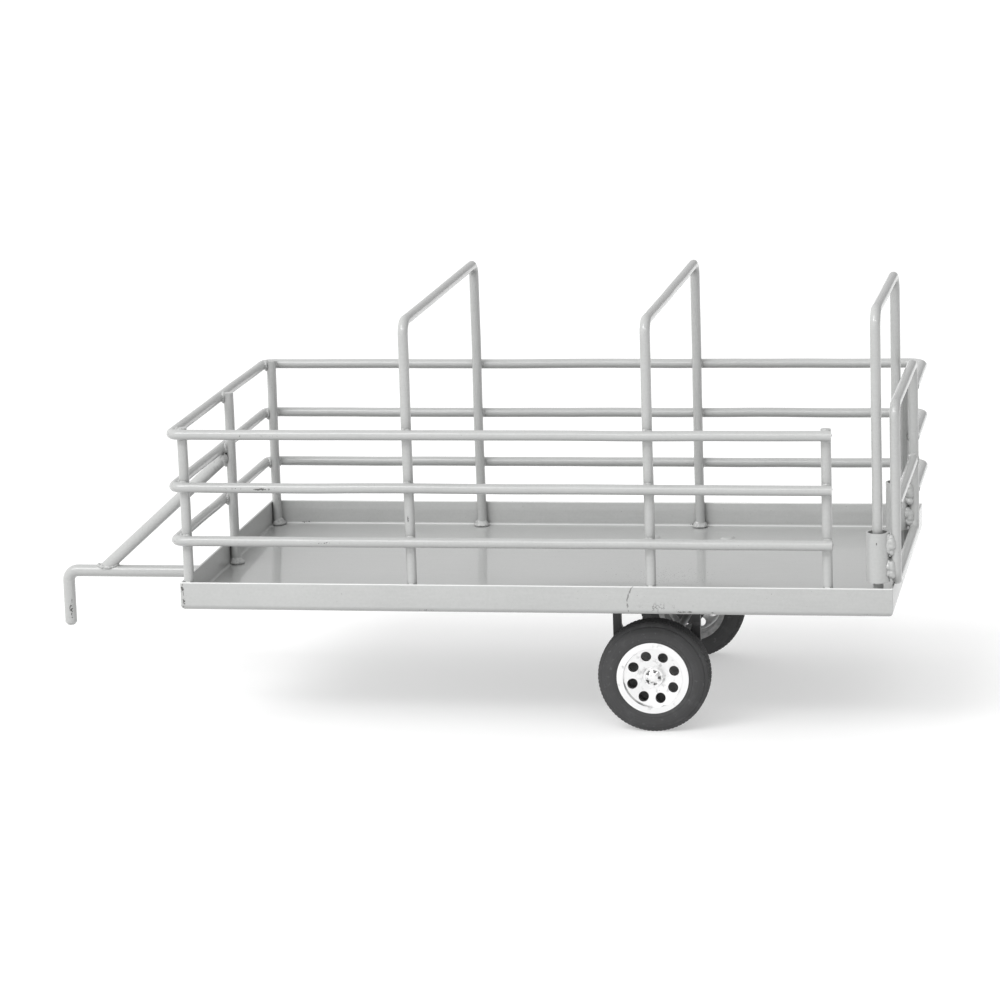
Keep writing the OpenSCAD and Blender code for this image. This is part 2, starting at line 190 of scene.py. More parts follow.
class Graph:
    """A node tree that is filled one node at a time."""

    def __init__(self, tree):
        self.tree = tree

    def node(self, kind, settings=None, sockets=None, out=0):
        """Adds a node: its settings first, then the values or links of its sockets."""
        made = self.tree.nodes.new(kind)
        for name, value in (settings or {}).items():
            setattr(made, name, value)
        for key, value in (sockets or {}).items():
            if isinstance(value, Value):
                self.tree.links.new(value.socket, made.inputs[key])
            else:
                made.inputs[key].default_value = value
        return Value(self, made.outputs[out]) if len(made.outputs) else None

    def math(self, operation, *values):
        return self.node("ShaderNodeMath", {"operation": operation}, dict(enumerate(values)))

    def vector(self, operation, *values, out=0, **named):
        return self.node(
            "ShaderNodeVectorMath",
            {"operation": operation},
            {**dict(enumerate(values)), **named},
            out,
        )

    def step(self, value, low, high):
        """0 below low, 1 above high, and smooth between them."""
        return self.node(
            "ShaderNodeMapRange",
            {"interpolation_type": "SMOOTHSTEP"},
            {"Value": value, "From Min": low, "From Max": high},
            out="Result",
        )


class Finish(Graph):
    """A surface finish on object coordinates."""

    def __init__(self, name):
        self.material = bpy.data.materials.new(name)
        self.material.use_nodes = True
        super().__init__(self.material.node_tree)
        self.tree.nodes.clear()
        self.place = self.node("ShaderNodeTexCoord", out="Object")

    def stretched(self, factors):
        """Object coordinates scaled along each axis."""
        return self.node("ShaderNodeMapping", {}, {"Vector": self.place, "Scale": factors})

    def noise(self, scale, detail=2.0, where=None):
        return self.node(
            "ShaderNodeTexNoise",
            {"noise_dimensions": "3D"},
            {"Vector": where or self.place, "Scale": scale, "Detail": detail, "Roughness": 0.55},
            out="Fac",
        )

    def near(self, centre, radii):
        """1 at a point, falling to 0 at the given radii along the axes."""
        share = self.vector("DIVIDE", self.vector("SUBTRACT", self.place, centre), radii)
        return self.step(self.vector("LENGTH", share, out="Value"), 1.0, 0.0)

    def rings(self, away, scale, detail):
        """Noise that changes only with the distance from an axis."""
        return self.node(
            "ShaderNodeTexNoise",
            {"noise_dimensions": "1D"},
            {"W": away, "Scale": scale, "Detail": detail},
            out="Fac",
        )

    def crevice(self, reach):
        """How open a point is: 1 on open faces, lower in corners within reach."""
        return self.node(
            "ShaderNodeAmbientOcclusion", {"samples": 8}, {"Distance": reach}, out="AO"
        )

    def axes(self):
        split = self.node("ShaderNodeSeparateXYZ", {}, {"Vector": self.place}, out="X")
        return split, split.other("Y"), split.other("Z")

    def mix(self, factor, a, b):
        """Colour a where factor is 0 and colour b where it is 1."""
        return self.node(
            "ShaderNodeMix",
            {"data_type": "RGBA"},
            {"Factor": factor, 6: a, 7: b},
            out=2,
        )

    def close(self, colour, roughness, height, bump_mm, **constants):
        """Ends the finish in its shader. The constants go on the shader's own sockets."""
        sockets = {"Base Color": colour, "Roughness": roughness}
        for name, value in constants.items():
            sockets[name.replace("_", " ")] = value
        sockets["Normal"] = self.node(
            "ShaderNodeBump", {}, {"Height": height, "Strength": 1.0, "Distance": bump_mm * MM}
        )
        shader = self.node("ShaderNodeBsdfPrincipled", {}, sockets)
        self.node("ShaderNodeOutputMaterial", {}, {"Surface": shader})
        return self.material


def shade(colour, factor):
    """A colour scaled by factor, opaque."""
    return tuple(min(1.0, c * factor) for c in colour[:3]) + (1.0,)


# ---------- finishes ----------


CRACK_X = on_tray(177.6, 0, 0).x      # where the crack crosses the left lip


def grey_enamel(settings):
    """Brushed-on grey enamel: cloudy, slightly rippled, chipped where the trailer was handled.
    Painted shade darkens its undersides and corners; painted highlights brighten the side lips' top
    edges and the far lip's fold.
    """
    f = Finish("grey_enamel")
    x, y, z = f.axes()
    base = settings.body_colour
    facing = f.node("ShaderNodeNewGeometry", out="Normal")
    facing = f.node("ShaderNodeSeparateXYZ", {}, {"Vector": facing}, out="Z")
    cloud = f.noise(24.0, 3.0)
    brush = f.noise(1.0, 4.0, f.stretched((90.0, 1100.0, 1100.0)))
    ripple = f.noise(330.0, 2.0)
    lumps = f.noise(110.0, 3.0)
    fleck_field = f.noise(1500.0, 4.0)
    patch = f.noise(38.0, 2.0)
    crevice = f.crevice(2.6 * MM)
    grain = f.noise(1050.0, 2.0)
    tone = f.mix(cloud * 0.5 + grain * 0.5, shade(base, 0.84), shade(base, 1.16))
    tone = f.mix(f.step(brush, 0.35, 0.8) * 0.4, tone, shade(base, 1.10))
    streaks = f.noise(1.0, 3.0, f.stretched((900.0, 45.0, 900.0)))
    on_front = (
        f.step(x, TRAY_LOW.x + 1.0 * MM, TRAY_LOW.x - 1.0 * MM)
        * f.step(x, TRAY_LOW.x - 5.5 * MM, TRAY_LOW.x - 4.5 * MM)
        * f.step(z, LIP_Z + 4.0 * MM, LIP_Z + 6.0 * MM)
    )
    tone = f.mix(f.step(streaks, 0.46, 0.36) * on_front * 0.7, tone, shade(base, 0.66))
    # painted shade: faces turned downwards are darker
    tone = f.mix(f.step(facing, 0.25, -0.95) * 0.8, tone, shade(base, 0.62))
    # painted shade: corners and joints between parts are darker
    tone = f.mix(f.step(crevice, 0.75, 0.1) * 0.75, tone, shade(base, 0.30))

    across = f.math("ABSOLUTE", y)
    on_lip = f.step(across, TRAY_HIGH.y - 1.3 * SHEET, TRAY_HIGH.y - 1.1 * SHEET)
    lip_top = f.step(z, LIP_Z - 0.45 * MM, LIP_Z - 0.15 * MM) * f.step(
        z, LIP_Z + 0.3 * MM, LIP_Z + 0.1 * MM
    )
    fold_y, fold_z = y - (TRAY_HIGH.y - SHEET), z - FLOOR_Z
    fold = (fold_y * fold_y + fold_z * fold_z) ** 0.5
    # painted highlight: a bright line along the side lips' top edges and along the fold at the foot
    # of the far lip
    painted_highlight = on_lip * lip_top + f.step(fold, 0.75 * MM, 0.35 * MM) * 0.8
    tone = f.mix(painted_highlight, tone, shade(base, 1.75))

    flecks = f.step(fleck_field, 0.70, 0.735) * f.step(patch, 0.58, 0.68)
    worn = [
        # centre, reach along x, y and z in mm, how much enamel is off
        (on_tray(35.4, -3, 49.4), (7.0, 2.2, 0.75), 0.37),
        (
            Vector((middle("front_hoop").x - 0.3 * MM, TRAY_LOW.y, on_tray(0, 0, 37.0).z)),
            (0.6, 4.0, 2.6),
            0.42,
        ),
        (on_tray(24.0, -3, 49.6), (9.0, 2.2, 1.0), 0.16),
        (on_tray(33.0, -3, 70.6), (16.0, 2.2, 1.0), 0.13),
        (on_tray(60.0, -3, 28.2), (18.0, 2.2, 0.9), 0.14),
        (on_tray(-68.0, 76.5, -18.0), (1.6, 2.6, 9.0), 0.24),
        (on_tray(200.0, 0.0, 1.2), (6.0, 1.0, 0.8), 0.44),
        (on_tray(212.0, 0.0, 1.0), (3.5, 1.0, 0.6), 0.40),
        (on_tray(100.0, 0.0, 0.9), (11.0, 1.0, 0.6), 0.30),
        (on_tray(270.0, 0.0, 0.9), (8.0, 1.0, 0.5), 0.22),
        (on_tray(0.9, 0.6, 8.8), (1.3, 1.8, 2.4), 0.42),
        (on_tray(1.2, 0.6, 3.0), (1.3, 1.8, 3.6), 0.40),
        (on_tray(184.0, 62.0, 1.0), (46.0, 40.0, 1.0), 0.10),
        (on_tray(273.9, 1.3, 28.4), (0.35, 1.6, 1.1), 0.60),
        (on_tray(3.5, 3.0, 11.3), (1.6, 3.0, 0.8), 0.40),
        (on_tray(182.5, 155.0, 1.8), (4.5, 2.2, 0.9), 0.34),
        (on_tray(15.0, 155.0, 1.8), (7.0, 2.2, 0.9), 0.32),
    ]
    chips = flecks
    for centre, radii, amount in worn:
        here = f.near(centre, tuple(r * MM for r in radii))
        chips = f.math("MAXIMUM", chips, f.step(fleck_field + here * amount, 0.72, 0.76))

    # hairline crack down the left lip, the seam at its front corner and a lap mark
    lip_face = f.step(y, TRAY_LOW.y + 0.4 * MM, TRAY_LOW.y + 0.2 * MM) * f.step(
        z, LIP_Z + 0.3 * MM, LIP_Z + 0.1 * MM
    )
    low_on_lip = (z - TRAY_LOW.z) / (LIP_Z - TRAY_LOW.z)
    wander = (f.noise(500.0, 2.0) - 0.5) * (1.6 * MM)
    bow = (low_on_lip - 0.42) * (low_on_lip - 0.42) * (7.0 * MM)
    from_crack = f.math("ABSOLUTE", x - (bow + CRACK_X) + wander)
    dashes = f.step(f.noise(620.0, 2.0), 0.36, 0.52)
    crack = f.step(from_crack, 0.34 * MM, 0.12 * MM) * lip_face * dashes
    from_seam = f.math("ABSOLUTE", x - (TRAY_LOW.x + 1.0 * MM) + wander * 0.6)
    seam = f.step(from_seam, 0.30 * MM, 0.10 * MM) * lip_face * dashes
    squiggle = f.math("ABSOLUTE", f.noise(260.0, 3.0) - 0.5)
    squiggle = f.step(squiggle, 0.030, 0.010) * f.near(
        on_tray(190.0, 0, 2.6), (11 * MM, 1 * MM, 3.4 * MM)
    )
    marks = f.math("MAXIMUM", f.math("MAXIMUM", crack, squiggle), seam)

    tone = f.mix(marks * 0.85, tone, shade(base, 0.34))
    tone = f.mix(chips * settings.wear, tone, (0.035, 0.033, 0.031, 1.0))
    rough = settings.gloss_roughness + (cloud - 0.5) * 0.10 + chips * 0.25
    height = lumps * 0.9 + ripple * 0.22 + brush * 0.16 - chips * 0.6 - marks * 0.5
    return f.close(
        tone,
        rough,
        height,
        bump_mm=0.11,
        Coat_Weight=0.8,
        Coat_Roughness=0.07,
        Specular_IOR_Level=0.5,
    )


def black_enamel(settings):
    """Thin black paint on the folded axle hangers."""
    f = Finish("black_enamel")
    base = settings.hanger_colour
    cloud = f.noise(70.0, 3.0)
    grain = f.noise(800.0, 3.0)
    rub = f.step(f.noise(260.0, 4.0), 0.60, 0.68)
    tone = f.mix(cloud, shade(base, 0.7), shade(base, 1.5))
    tone = f.mix(rub * 0.5, tone, shade(base, 3.2))
    return f.close(tone, 0.36 + grain * 0.16, grain + rub * 0.4, bump_mm=0.04)


def plain_steel():
    """Drawn steel of the axle."""
    f = Finish("drawn_steel")
    lines = f.noise(1.0, 3.0, f.stretched((2600.0, 60.0, 2600.0)))
    stain = f.noise(160.0, 3.0)
    tone = f.mix(stain, (0.36, 0.36, 0.36, 1.0), (0.56, 0.56, 0.57, 1.0))
    return f.close(tone, 0.30 + lines * 0.2, lines, bump_mm=0.02, Metallic=1.0)


def from_axle(f):
    """Distance of a point from the wheels' axis."""
    x, _y, z = f.axes()
    at = middle("left_rim")
    dx, dz = x - at.x, z - at.z
    return (dx * dx + dz * dz) ** 0.5


def turned_aluminium(settings):
    """Rim turned on a lathe: bright, with fine rings and a little tarnish in the dish. Painted shade
    darkens its corners, spots round the cap and the inside of the barrel.
    """
    f = Finish("turned_aluminium")
    away = from_axle(f)
    rings = f.rings(away, 5200.0, 2.0)
    steps = f.rings(away, 900.0, 1.0)
    stain = f.noise(420.0, 4.0)
    crevice = f.crevice(2.2 * MM)
    dish = f.step(away, 12.0 * MM, 5.0 * MM)
    _x, across, _z = f.axes()
    across = f.math("ABSOLUTE", across)
    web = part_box("right_rim")[1].y - 4.4 * MM
    inner = f.step(across, web, web - 0.4 * MM)
    # tarnish in the dish is real; the darkening in corners from the occlusion term is painted shade
    grime_and_shade = f.step(stain + dish * 0.10, 0.60, 0.78) * 0.45 + f.step(crevice, 0.6, 0.1) * 0.4
    bright = settings.rim_colour
    # painted shade: dark spots round the cap, standing in for its shaded notches
    pits = f.step(f.noise(640.0, 3.0), 0.50, 0.60) * f.step(away, 3.6 * MM, 2.9 * MM)
    pits = pits * f.step(away, 1.2 * MM, 1.9 * MM)
    grime_and_shade = f.math("MAXIMUM", grime_and_shade, pits)
    tone = f.mix(grime_and_shade, shade(bright, 1.0), shade(bright, 0.22))
    tone = f.mix(steps * 0.25, tone, shade(bright, 0.82))
    # painted shade: the inside of the barrel, behind the web, is darkened
    tone = f.mix(inner * (0.55 + stain * 0.45), tone, shade(bright, 0.13))
    rough = 0.24 + stain * 0.16 + grime_and_shade * 0.25 + inner * 0.2
    return f.close(tone, rough, rings + steps * 0.6, bump_mm=0.012, Metallic=1.0)


def tyre_rubber(settings):
    """Moulded rubber: dull, faint rings on the sidewall, dust in the low places."""
    f = Finish("tyre_rubber")
    away = from_axle(f)
    base = settings.rubber_colour
    rings = f.rings(away, 1500.0, 2.0)
    grain = f.noise(1600.0, 3.0)
    cloud = f.noise(90.0, 3.0)
    dust = f.step(f.noise(210.0, 5.0), 0.52, 0.80)
    tone = f.mix(cloud, shade(base, 0.82), shade(base, 1.18))
    tone = f.mix(f.step(rings, 0.50, 0.66) * 0.12, tone, shade(base, 1.5))
    scuff = f.step(f.noise(480.0, 5.0), 0.62, 0.68)
    tone = f.mix(dust * 0.40 + scuff * 0.45, tone, shade(base, 2.1))
    return f.close(
        tone, 0.62 + cloud * 0.14, grain * 0.7 + rings * 0.8, bump_mm=0.05, Specular_IOR_Level=0.35
    )


def pale_floor(settings):
    """Matt studio floor."""
    f = Finish("studio_floor")
    grain = f.noise(60.0, 3.0)
    base = settings.floor_colour
    tone = f.mix(grain, shade(base, 0.99), shade(base, 1.01))
    return f.close(
        tone,
        0.85,
        grain,
        bump_mm=0.02,
        Specular_IOR_Level=0.1,
        Emission_Color=(1.0, 1.0, 1.0, 1.0),
        Emission_Strength=settings.floor_glow,
    )


FINISHES = {}


def finish(name):
    """Each finish is made once and shared."""
    if name not in FINISHES:
        scene = bpy.context.scene
        makers = {
            "grey_enamel": lambda: grey_enamel(scene.trailer_paint),
            "black_enamel": lambda: black_enamel(scene.trailer_paint),
            "drawn_steel": plain_steel,
            "turned_aluminium": lambda: turned_aluminium(scene.trailer_wheels),
            "tyre_rubber": lambda: tyre_rubber(scene.trailer_wheels),
            "studio_floor": lambda: pale_floor(scene.trailer_studio),
        }
        FINISHES[name] = makers[name]()
    return FINISHES[name]


def paint_node(node, material):
    """Gives a CAD node a finish in every material slot it has."""
    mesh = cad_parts[node].data
    if not mesh.materials:
        mesh.materials.append(material)
    for index in range(len(mesh.materials)):
        mesh.materials[index] = material


# ---------- geometry node trees ----------


class Growth(Graph):
    """A geometry node tree with named inputs, run on one mesh."""

    def __init__(self, name, inputs):
        tree = bpy.data.node_groups.new(name, "GeometryNodeTree")
        super().__init__(tree)
        tree.interface.new_socket("Geometry", in_out="INPUT", socket_type="NodeSocketGeometry")
        self.identifiers = {}
        for label, (kind, default) in inputs.items():
            socket = tree.interface.new_socket(label, in_out="INPUT", socket_type=kind)
            if default is not None:
                socket.default_value = default
            self.identifiers[label] = socket.identifier
        tree.interface.new_socket("Geometry", in_out="OUTPUT", socket_type="NodeSocketGeometry")
        self.start = self.node("NodeGroupInput")

    def input(self, label):
        return self.start.other(label)

    def attribute(self, name):
        return self.node(
            "GeometryNodeInputNamedAttribute", {"data_type": "FLOAT"}, {"Name": name}
        )

    def close(self, geometry):
        """Ends the tree in Realize Instances and Set Material."""
        real = self.node("GeometryNodeRealizeInstances", {}, {"Geometry": geometry})
        dressed = self.node(
            "GeometryNodeSetMaterial", {}, {"Geometry": real, "Material": self.input("Finish")}
        )
        self.node("NodeGroupOutput", {}, {"Geometry": dressed})
        return self

    def grow(self, name, seed_mesh, values):
        """Runs the tree on a mesh and returns the result as a plain mesh object."""
        carrier = bpy.data.objects.new(name + "_seed", seed_mesh)
        bpy.context.scene.collection.objects.link(carrier)
        modifier = carrier.modifiers.new("grow", "NODES")
        modifier.node_group = self.tree
        for label, value in values.items():
            modifier[self.identifiers[label]] = value
        carrier.update_tag()
        bpy.context.view_layer.update()
        evaluated = carrier.evaluated_get(bpy.context.evaluated_depsgraph_get())
        mesh = bpy.data.meshes.new_from_object(evaluated)
        carrier.modifiers.clear()
        bpy.data.objects.remove(carrier)
        if not mesh.polygons:
            raise RuntimeError(f"{name}: its node tree gave no faces")
        mesh.name = name
        return add_object(name, mesh)


NUMBER, COUNT, DISTANCE = "NodeSocketFloat", "NodeSocketInt", "NodeSocketFloat"
DRESS = {"Finish": ("NodeSocketMaterial", None)}


def path_mesh(name, paths, attributes):
    """A mesh of open polylines, with attributes that hold one value for each point."""
    mesh = bpy.data.meshes.new(name)
    points = [p for path in paths for p in path]
    edges, first = [], 0
    for path in paths:
        edges += [(first + i, first + i + 1) for i in range(len(path) - 1)]
        first += len(path)
    mesh.from_pydata(points, edges, [])
    for label, values in attributes.items():
        layer = mesh.attributes.new(label, "FLOAT", "POINT")
        layer.data.foreach_set("value", [v for path in values for v in path])
    return mesh


def rod_tree():
    """Bends a rod along polylines, with rounded corners, filled ends and a slight wander."""
    g = Growth(
        "Bent rods",
        {
            "Radius": (DISTANCE, 0.002),
            "Step": (DISTANCE, 0.0015),
            "Wander": (DISTANCE, 0.0001),
            **DRESS,
        },
    )
    line = g.node("GeometryNodeMeshToCurve", {}, {"Mesh": g.start})
    bent = g.node(
        "GeometryNodeFilletCurve",
        {"mode": "POLY"},
        {"Curve": line, "Count": 10, "Radius": g.attribute("bend")},
    )
    even = g.node(
        "GeometryNodeResampleCurve", {"mode": "LENGTH"}, {"Curve": bent, "Length": g.input("Step")}
    )
    drift = g.node(
        "ShaderNodeTexNoise",
        {"noise_dimensions": "3D"},
        {"Scale": 22.0, "Detail": 1.0},
        out="Color",
    )
    centred = g.vector("SUBTRACT", drift, (0.5, 0.5, 0.5))
    offset = g.vector("SCALE", centred, Scale=g.input("Wander"))
    wavy = g.node("GeometryNodeSetPosition", {}, {"Geometry": even, "Offset": offset})
    section = g.node(
        "GeometryNodeCurvePrimitiveCircle",
        {"mode": "RADIUS"},
        {"Resolution": 28, "Radius": g.input("Radius")},
    )
    swept = g.node(
        "GeometryNodeCurveToMesh", {}, {"Curve": wavy, "Profile Curve": section, "Fill Caps": True}
    )
    return g.close(swept)


def weld_tree():
    """Lays beads along polylines and fuses them into one lumpy skin."""
    g = Growth(
        "Weld beads",
        {
            "Spacing": (DISTANCE, 0.0007),
            "Unevenness": (NUMBER, 0.35),
            "Grain": (DISTANCE, 0.0002),
            "Lump": (DISTANCE, 0.00025),
            "Seed": (COUNT, 3),
            **DRESS,
        },
    )
    line = g.node("GeometryNodeMeshToCurve", {}, {"Mesh": g.start})
    even = g.node(
        "GeometryNodeResampleCurve",
        {"mode": "LENGTH"},
        {"Curve": line, "Length": g.input("Spacing")},
    )
    beads = g.node("GeometryNodeCurveToPoints", {"mode": "EVALUATED"}, {"Curve": even})
    chance = g.node(
        "FunctionNodeRandomValue",
        {"data_type": "FLOAT"},
        {2: -1.0, 3: 1.0, "Seed": g.input("Seed")},
        out=1,
    )
    swell = (chance * g.input("Unevenness") + 1.0) * g.attribute("bead")
    cloud = g.node(
        "GeometryNodePointsToVolume",
        {"resolution_mode": "VOXEL_SIZE"},
        {"Points": beads, "Density": 1.0, "Voxel Size": g.input("Grain"), "Radius": swell},
    )
    skin = g.node(
        "GeometryNodeVolumeToMesh",
        {"resolution_mode": "VOXEL_SIZE"},
        {"Volume": cloud, "Voxel Size": g.input("Grain"), "Threshold": 0.1, "Adaptivity": 0.0},
    )
    pits = g.node(
        "ShaderNodeTexNoise", {"noise_dimensions": "3D"}, {"Scale": 620.0, "Detail": 2.0}, out="Fac"
    )
    normal = g.node("GeometryNodeInputNormal")
    push = g.vector("SCALE", normal, Scale=(pits - 0.5) * g.input("Lump"))
    lumpy = g.node("GeometryNodeSetPosition", {}, {"Geometry": skin, "Offset": push})
    smooth = g.node("GeometryNodeSetShadeSmooth", {}, {"Geometry": lumpy})
    return g.close(smooth)


def around_tree(name):
    """Sets a small piece round the wheels' axis and joins it to the mesh it grows on."""
    g = Growth(
        name,
        {
            "Piece": ("NodeSocketObject", None),
            "Count": (COUNT, 60),
            "Radius": (DISTANCE, 0.02),
            "Across": (DISTANCE, 0.005),
            "Skew": (NUMBER, 0.0),
            "Centre": ("NodeSocketVector", None),
            **DRESS,
        },
    )
    ring = g.node(
        "GeometryNodeMeshLine",
        {"mode": "OFFSET"},
        {"Count": g.input("Count"), "Offset": (0.0, 0.0, 0.0)},
    )
    order = g.node("GeometryNodeInputIndex")
    angle = (order + g.input("Skew")) / g.input("Count") * math.tau
    turn = g.node("ShaderNodeCombineXYZ", {}, {"Y": angle})
    arm = g.node("ShaderNodeCombineXYZ", {}, {"X": g.input("Radius"), "Y": g.input("Across")})
    swung = g.node(
        "ShaderNodeVectorRotate", {"rotation_type": "EULER_XYZ"}, {"Vector": arm, "Rotation": turn}
    )
    there = g.vector("ADD", swung, g.input("Centre"))
    placed = g.node("GeometryNodeSetPosition", {}, {"Geometry": ring, "Position": there})
    piece = g.node(
        "GeometryNodeObjectInfo",
        {"transform_space": "ORIGINAL"},
        {"Object": g.input("Piece")},
        out="Geometry",
    )
    copies = g.node(
        "GeometryNodeInstanceOnPoints", {}, {"Points": placed, "Instance": piece, "Rotation": turn}
    )
    both = g.node("GeometryNodeJoinGeometry", {}, {})
    g.tree.links.new(g.start.socket, both.socket.node.inputs[0])
    g.tree.links.new(copies.socket, both.socket.node.inputs[0])
    return g.close(both)


# ---------- mesh helpers ----------


def lathe(name, profile, centre, side, segments=96):
    """A closed profile of (radius, outwards) points, turned about the wheels' axis."""
    mesh = bmesh.new()
    rings = []
    for step in range(segments):
        angle = math.tau * step / segments
        c, s = math.cos(angle), math.sin(angle)
        ring = []
        for radius, out in profile:
            place = (centre.x + radius * c, centre.y + side * out, centre.z + radius * s)
            ring.append(mesh.verts.new(place))
        rings.append(ring)
    count = len(profile)
    for step in range(segments):
        here, after = rings[step], rings[(step + 1) % segments]
        for i in range(count):
            j = (i + 1) % count
            mesh.faces.new((here[i], here[j], after[j], after[i]))
    bmesh.ops.remove_doubles(mesh, verts=mesh.verts, dist=1e-7)
    bmesh.ops.recalc_face_normals(mesh, faces=mesh.faces)
    return finished_mesh(mesh, name)


def smooth_by_angle(mesh, degrees):
    """Smooth shading with sharp edges where faces meet at more than the angle."""
    for polygon in mesh.polygons:
        polygon.use_smooth = True
    work = bmesh.new()
    work.from_mesh(mesh)
    for edge in work.edges:
        edge.smooth = not (
            len(edge.link_faces) == 2 and edge.calc_face_angle(0) > math.radians(degrees)
        )
    work.to_mesh(mesh)
    work.free()


# ---------- settings ----------


class TrailerPaint(bpy.types.PropertyGroup):
    body_colour: FloatVectorProperty(
        name="Body colour",
        description="Grey enamel on the tray, rods, gate and drawbar",
        subtype="COLOR",
        default=(0.405, 0.41, 0.405),
        min=0.0,
        max=1.0,
    )
    hanger_colour: FloatVectorProperty(
        name="Hanger colour",
        description="Black paint on the axle hangers",
        subtype="COLOR",
        default=(0.022, 0.022, 0.023),
        min=0.0,
        max=1.0,
    )
    gloss_roughness: FloatProperty(
        name="Enamel roughness",
        description="Roughness of the grey enamel",
        subtype="FACTOR",
        default=0.36,
        min=0.05,
        max=1.0,
    )
    edge_radius: FloatProperty(
        name="Edge radius",
        description="Rounding of the tray's cut edges under the paint",
        unit="LENGTH",
        default=0.0003,
        min=0.00005,
    )
    wear: FloatProperty(
        name="Wear",
        description="How dark the chips in the enamel are",
        subtype="FACTOR",
        default=0.9,
        min=0.0,
        max=1.0,
    )


class TrailerRods(bpy.types.PropertyGroup):
    step: FloatProperty(
        name="Step",
        description="Length of one ring of faces along a rod",
        unit="LENGTH",
        default=0.0016,
        min=0.0005,
    )
    wander: FloatProperty(
        name="Wander",
        description="How far a hand-bent rod strays from its straight line",
        unit="LENGTH",
        default=0.0006,
        min=0.0,
    )


class TrailerWelds(bpy.types.PropertyGroup):
    crossing_bead: FloatProperty(
        name="Crossing bead",
        description="Radius of the beads where a rail crosses an upright",
        unit="LENGTH",
        default=0.00085,
        min=0.0003,
    )
    foot_bead: FloatProperty(
        name="Foot bead",
        description="Radius of the beads round the foot of an upright",
        unit="LENGTH",
        default=0.00105,
        min=0.0003,
    )
    grain: FloatProperty(
        name="Grain",
        description="Finest detail of the weld skin",
        unit="LENGTH",
        default=0.00022,
        min=0.0001,
    )


class TrailerWheels(bpy.types.PropertyGroup):
    rubber_colour: FloatVectorProperty(
        name="Rubber colour",
        description="Colour of the tyres",
        subtype="COLOR",
        default=(0.047, 0.047, 0.048),
        min=0.0,
        max=1.0,
    )
    rim_colour: FloatVectorProperty(
        name="Rim colour",
        description="Bare metal of the rims",
        subtype="COLOR",
        default=(0.87, 0.87, 0.87),
        min=0.0,
        max=1.0,
    )
    tread_blocks: IntProperty(
        name="Tread blocks",
        description="Blocks in one row round a tyre",
        default=84,
        min=12,
        max=120,
    )
    cap_teeth: IntProperty(
        name="Cap teeth",
        description="Teeth pressed into each push-on axle cap",
        default=5,
        min=3,
        max=9,
    )


class TrailerStudio(bpy.types.PropertyGroup):
    floor_colour: FloatVectorProperty(
        name="Floor colour",
        description="Colour of the studio floor",
        subtype="COLOR",
        default=(0.62, 0.62, 0.62),
        min=0.0,
        max=1.0,
    )
    floor_glow: FloatProperty(
        name="Floor glow",
        description="Light that the floor gives off, as a light table does, to soften the shadow",
        default=0.42,
        min=0.0,
    )
    camera_place: FloatVectorProperty(
        name="Camera place",
        description="Where the camera stands",
        subtype="TRANSLATION",
        unit="LENGTH",
        default=(0.29203, -1.53792, 0.40647),
    )
    camera_turn: FloatVectorProperty(
        name="Camera turn",
        description="How the camera is turned",
        subtype="EULER",
        unit="ROTATION",
        default=(math.radians(78.1618), math.radians(1.8223), math.radians(10.061)),
    )
    lens_mm: FloatProperty(
        name="Lens",
        description="Focal length on a 36 mm wide sensor, in millimetres",
        default=141.44,
        min=20.0,
    )
    sky_bright: FloatProperty(
        name="Bright sky",
        description="Strength of the sky on the side of the key light",
        default=1.24,
        min=0.0,
    )
    sky_dim: FloatProperty(
        name="Dim sky",
        description="Strength of the sky on the side away from the key light",
        default=0.35,
        min=0.0,
    )
    key_strength: FloatProperty(
        name="Key light",
        description="Strength of the soft light from above the front left",
        default=0.75,
        min=0.0,
    )
    softbox_watts: FloatProperty(
        name="Softbox",
        description="Power of the long box above, which draws the highlights along the rods",
        unit="POWER",
        default=4.2,
        min=0.0,
    )
    key_turn: FloatVectorProperty(
        name="Key turn",
        description="How the key light is turned",
        subtype="EULER",
        unit="ROTATION",
        default=(math.radians(44.0), 0.0, math.radians(-38.0)),
    )


# ---------- operators ----------


class TrailerOperator:
    """Shared base: every piece is built again from the frame."""

    bl_options = {"REGISTER", "UNDO"}


class OBJECT_OT_trailer_enamel(TrailerOperator, bpy.types.Operator):
    """Give every node of the frame its finish"""

    bl_idname = "object.trailer_enamel"
    bl_label = "Paint the frame"

    def execute(self, context):
        grey = finish("grey_enamel")
        own_finish = ("left_tyre", "right_tyre", "left_rim", "right_rim", "axle", "axle_caps")
        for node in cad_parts:
            if node not in own_finish:
                paint_node(node, grey)
        for node in ("left_axle_hanger", "right_axle_hanger"):
            paint_node(node, finish("black_enamel"))
        paint_node("axle", finish("drawn_steel"))
        for node in ("left_rim", "right_rim", "axle_caps"):
            paint_node(node, finish("turned_aluminium"))
        for node in ("left_tyre", "right_tyre"):
            paint_node(node, finish("tyre_rubber"))
        return {"FINISHED"}


# Rings that build a foot's fillet: reach from the rod, lift off the floor, radius; in bead radii
FILLET = ((0.42, 0.55, 0.72), (0.14, 0.95, 0.78), (-0.14, 1.4, 0.76), (-0.36, 1.85, 0.68))
# Largest bead at a foot, so that none comes out under the tray's fold
FOOT_BEAD_LIMIT = 0.95 * MM


